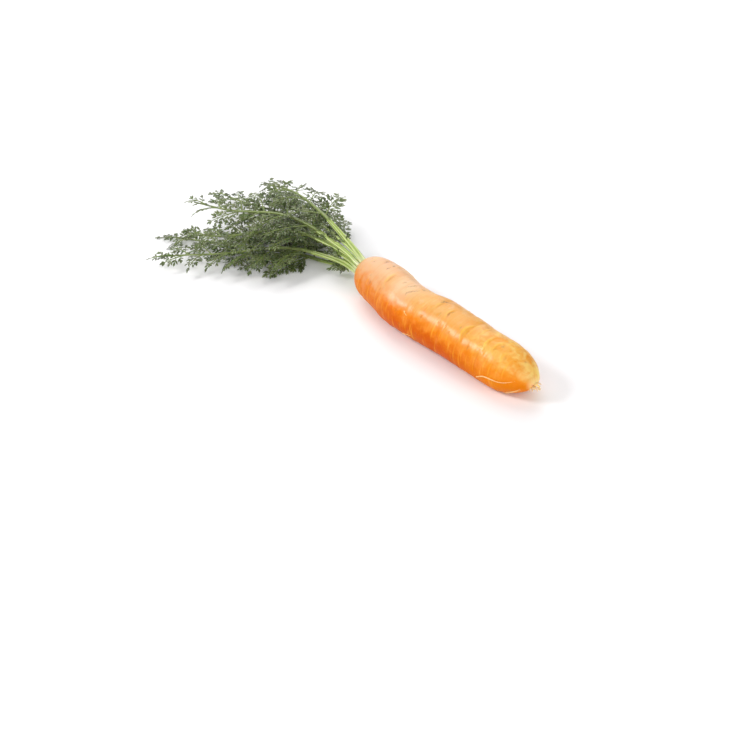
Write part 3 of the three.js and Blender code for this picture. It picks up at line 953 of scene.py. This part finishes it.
def build_frond(k, leaf, material):
    """The same leaflets at the same places as in the solid, each cut into fine lobes."""
    line = leaf_line(leaf)
    gather = Gather()
    blade = leaf["length"] - STALK_LENGTH - FROND_END
    shares = np.linspace(0, 1, FROND_STATIONS)
    places = [leaf_frame(line, STALK_LENGTH - 1 + share * (blade + 9))[0] for share in shares]
    gather.tube(places, mix(sum(STALK_END) / 4, RIB_TIP / 2, shares**0.7), 12, RIB)
    for i in range(leaf["pairs"]):
        share = (i + 0.25) / leaf["pairs"]
        s = STALK_LENGTH + blade * share**0.92
        length = LONGEST_LEAFLET * (leaf["length"] / LONGEST_LEAF) * (0.92 if i == 0 else 1 - 0.68 * share)
        for hand in (-1, 1):
            turn = hand * math.radians(mix(62, 40, share) + 6 * (scatter(i * 2 + (hand + 1) / 2, 43) - 0.5))
            add_leaflet(gather, leaf, line, s + 1.5 * hand, turn, length * mix(0.92, 1.05, scatter(i, 29)))
    add_leaflet(gather, leaf, line, STALK_LENGTH + blade - 3, 0.0, END_LEAFLET)
    return gather.build(f"leaf_frond_{k}", material, "rib")


# Young leaves that stand between the stalks, in the stalks' own terms.
YOUNG_LEAVES = [
    {"at": 90, "out": 4.4, "heading": -12, "level": 5.5, "length": 50},
    {"at": 162, "out": 4.4, "heading": -42, "level": 3.5, "length": 32},
    {"at": 234, "out": 4.6, "heading": -46, "level": 1.2, "length": 25},
    {"at": 18, "out": 4.4, "heading": 6, "level": 3.8, "length": 44},
    {"at": 306, "out": 4.6, "heading": -14, "level": 0.6, "length": 38},
    {"at": 60, "out": 2.7, "heading": -6, "level": 5.0, "length": 36},
    {"at": 140, "out": 2.9, "heading": -34, "level": 4.6, "length": 52},
    {"at": 250, "out": 2.2, "heading": -30, "level": 1.6, "length": 42},
]
YOUNG_STALK = (1.15, 0.55)  # radii at its start and its end
YOUNG_RIDGE = 0.55  # the stalk's mask
YOUNG_LEAFLETS = ((0.82, 6), (0.97, 9))  # where on the leaf, and how long


def build_young_leaves(stalk, frond):
    stalks, fronds = Gather(), Gather()
    for leaf in YOUNG_LEAVES:
        line = leaf_line(leaf)
        thick = taper(*YOUNG_STALK, len(line)) * draw.uniform(0.85, 1.1)
        stalks.tube(line, thick, 12, YOUNG_RIDGE)
        for share, length in YOUNG_LEAFLETS:
            turn = draw.normal(0, 0.3)
            add_leaflet(fronds, leaf, line, share * leaf["length"], turn, length)
    finish_piece(stalks.build("young_stalks", stalk, "ridge"), "stalk")
    finish_piece(fronds.build("young_fronds", frond, "rib"), "frond")


# Side roots and hairs.

SIDE_ROOTS = [  # radius at its thick end, then (x, angle) along it on the skin
    (0.5, [(130, 203), (136.6, 185), (142, 182), (147, 182), (151.6, 178), (157, 163)]),
    (0.5, [(146, 240), (150, 231), (155, 219), (160, 211)]),
    (0.4, [(62, 216), (66, 208), (71, 203)]),
    (0.42, [(150, 226), (156, 214), (160, 200)]),
    (0.34, [(30, 300), (34, 308), (39, 310), (42, 318), (47, 321), (50, 330)]),
    (0.3, [(88, 18), (90, 24), (93, 26), (94.5, 32), (98, 34)]),
    (0.34, [(132, 340), (136, 343), (139, 351), (143, 353), (146, 2)]),
    (0.32, [(104, 250), (107, 258), (112, 261), (113, 272)]),
    (0.5, [(63.6, 148), (65, 151.5), (66.8, 155)]),
]
TIP_TEETH = [  # (x, angle, length) of the short pale stubs round the lower edge of the tip
    (163.3, 232, 1.6),
    (163.6, 247, 2.3),
    (163.8, 260, 1.7),
    (163.9, 272, 2.6),
    (163.9, 286, 1.8),
    (163.9, 300, 2.4),
    (163.8, 316, 1.9),
    (163.6, 334, 2.2),
]
TIP_HAIRS = 20
LEAF_REMAINS = 34
SIDE_ROOT_STATIONS = 26
HAIR_STATIONS = 8
REMAINS_STATIONS = 6
HAIR_END = 0.14  # radius where a hair runs out
HAIR_FLOOR = 0.3
ON_SKIN, DRY, AT_TIP = 0.0, 0.5, 1.0  # the hair's mask


def curve_through(points, count):
    """A smooth line through a few points."""
    points = np.asarray(points, float)
    padded = np.vstack([2 * points[0] - points[1], points, 2 * points[-1] - points[-2]])
    out = []
    for t in np.linspace(0, 1, count):
        i = min(int(t * (len(points) - 1)), len(points) - 2)
        u = t * (len(points) - 1) - i
        a, b, c, d = padded[i : i + 4]
        square = (2 * a - 5 * b + 4 * c - d) * u**2
        cube = (3 * b - a - 3 * c + d) * u**3
        out.append(0.5 * (2 * b + (c - a) * u + square + cube))
    return np.array(out)


def outward(turn):
    """The way straight out from the root's middle line."""
    return np.array([0.0, math.cos(turn), math.sin(turn)])


def tail_point(x, degrees):
    """A point just inside the tail's skin."""
    radius = mix(TAIL_RADIUS, TAIL_END_RADIUS, (x - ROOT_LENGTH) / TAIL_LENGTH) * 0.8
    return np.array([x, *root_middle(np.float64(x))]) + radius * outward(math.radians(degrees))


def add_side_roots(gather):
    for thick, path in SIDE_ROOTS:
        ends = len(path) - 1
        points = [on_root(x, turn, 0.25 if 0 < i < ends else -0.1) for i, (x, turn) in enumerate(path)]
        line = curve_through(points, SIDE_ROOT_STATIONS)
        gather.tube(line, taper(thick, HAIR_END, SIDE_ROOT_STATIONS), 7, ON_SKIN)


def add_tip_fringe(gather):
    """Short stubs round the lower edge of the tip, then finer hairs round the tail."""
    for x, degrees, length in TIP_TEETH:
        start = on_root(x, degrees, -0.5)
        out = outward(math.radians(degrees)) + (draw.uniform(0.2, 0.7), 0.0, -0.2)
        bent = (draw.uniform(-0.5, 0.2), draw.normal(0, 0.4), -0.4)
        path = [start, start + out * 0.6 * length, start + out * length + bent]
        gather.tube(curve_through(path, HAIR_STATIONS), taper(0.6, 0.16, HAIR_STATIONS), 8, AT_TIP)
    for _ in range(TIP_HAIRS):
        x = ROOT_LENGTH + draw.uniform(-0.6, TAIL_LENGTH)
        degrees = draw.uniform(200, 355)
        start = on_root(x, degrees, -0.3) if x < ROOT_LENGTH else tail_point(x, degrees)
        out = outward(math.radians(degrees)) + (draw.uniform(0.0, 0.7), 0.0, 0.0)
        length = draw.uniform(0.9, 1.9)
        middle = start + out * length * 0.5
        end = start + out * length * 0.9 + (draw.normal(0, 0.3), draw.normal(0, 0.3), -0.25 * length)
        line = curve_through([start, middle, end], HAIR_STATIONS)
        line[:, 2] = np.maximum(line[:, 2], HAIR_FLOOR)
        gather.tube(line, taper(0.42, HAIR_END, HAIR_STATIONS), 6, AT_TIP)


def add_leaf_remains(gather):
    """Dry stubs of old leaves, inside the rim of the crown."""
    crown = np.array([0.4, *root_middle(np.float64(0))])
    for _ in range(LEAF_REMAINS):
        way = outward(draw.uniform(0, 2 * np.pi))
        start = crown + way * (RIM_RADIUS - draw.uniform(0.3, 1.2))
        length = draw.uniform(1.0, 2.6)
        end = start + way * length * draw.uniform(-0.1, 0.5) - (length, 0, 0)
        line = curve_through([start, (start + end) / 2 - way * 0.2, end], REMAINS_STATIONS)
        gather.tube(line, taper(draw.uniform(0.3, 0.6), 0.12, REMAINS_STATIONS), 6, DRY)


def build_hairs(material):
    gather = Gather()
    add_side_roots(gather)
    add_tip_fringe(gather)
    add_leaf_remains(gather)
    return gather.build("root_hairs", material, "rib")


# The studio, in metres.

FLOOR_REACH = 4.0
FLOOR_DROP = 0.0001  # under the carrot, so that the two don't share a plane
WORLD_COLOUR = (0.93, 0.95, 1.0, 1.0)
WORLD_STRENGTH = 0.31
LAMP_AIM = np.array([0.05, 0.0, 0.02])
LAMPS = [  # name, the way to it, distance, size, energy, colour
    ("back_panel", (-0.55, 0.25, 0.80), 1.3, 1.15, 7.0, (1.0, 0.985, 0.96)),
    ("side_window", (-0.39, -0.66, 0.64), 1.3, 0.42, 8.9, (1.0, 0.98, 0.97)),
    ("backdrop", (-0.70, 0.55, 0.36), 1.5, 1.2, 6.0, (1.0, 0.99, 0.97)),
    ("front_fill", (0.55, -0.50, 0.67), 1.6, 1.3, 5.4, (1.0, 0.99, 0.98)),
    ("tip_card", (0.86, 0.05, 0.50), 1.5, 1.3, 7.5, (1.0, 0.99, 0.97)),
]


def build_floor(material):
    signs = ((-1, -1), (1, -1), (1, 1), (-1, 1))
    corners = [(a * FLOOR_REACH, b * FLOOR_REACH, -FLOOR_DROP) for a, b in signs]
    mesh = bpy.data.meshes.new("studio_floor")
    mesh.from_pydata(corners, [], [(0, 1, 2, 3)])
    mesh.materials.append(material)
    floor = link(bpy.data.objects.new("studio_floor", mesh))


def add_lamp(name, way, distance, size, energy, colour):
    light = bpy.data.lights.new(name, "AREA")
    light.shape = "DISK"
    light.size = size
    light.energy = energy
    light.color = colour
    place_at = LAMP_AIM + np.array(way) * distance
    lamp = link(bpy.data.objects.new(name, light))
    lamp.location = place_at
    lamp.rotation_mode = "QUATERNION"
    lamp.rotation_quaternion = (Vector(place_at) - Vector(LAMP_AIM)).to_track_quat("Z", "Y")


def light_studio():
    world = bpy.data.worlds.new("studio")
    world.use_nodes = True
    background = world.node_tree.nodes["Background"]
    background.inputs["Color"].default_value = WORLD_COLOUR
    background.inputs["Strength"].default_value = WORLD_STRENGTH
    bpy.context.scene.world = world
    for lamp in LAMPS:
        add_lamp(*lamp)


def build_camera():
    azimuth, elevation = math.radians(CAMERA_AZIMUTH), math.radians(CAMERA_ELEVATION)
    flat = math.cos(elevation)
    way = Vector((math.sin(azimuth) * flat, -math.cos(azimuth) * flat, math.sin(elevation)))
    camera = bpy.data.cameras.new("photo_view")
    camera.lens = CAMERA_LENS
    camera.sensor_width = CAMERA_SENSOR
    camera.clip_end = CAMERA_REACH
    holder = link(bpy.data.objects.new("photo_view", camera))
    holder.location = Vector(place(CAMERA_AIM)) + way * CAMERA_DISTANCE
    holder.rotation_mode = "QUATERNION"
    holder.rotation_quaternion = way.to_track_quat("Z", "Y")
    bpy.context.scene.camera = holder


def main():
    bpy.context.scene.view_settings.view_transform = "Standard"
    build_camera()
    light_studio()
    build_floor(floor_material())
    finish_piece(build_root(skin_material()), "skin", "root")
    stalk, frond = stalk_material(), frond_material()
    for k, leaf in enumerate(CROWN_LEAVES, 1):
        finish_piece(build_stalk(k, leaf, stalk), "stalk", f"stalk_{k}")
        finish_piece(build_frond(k, leaf, frond), "frond", f"frond_{k}")
    build_young_leaves(stalk, frond)
    finish_piece(build_hairs(hair_material()), "skin")


main()
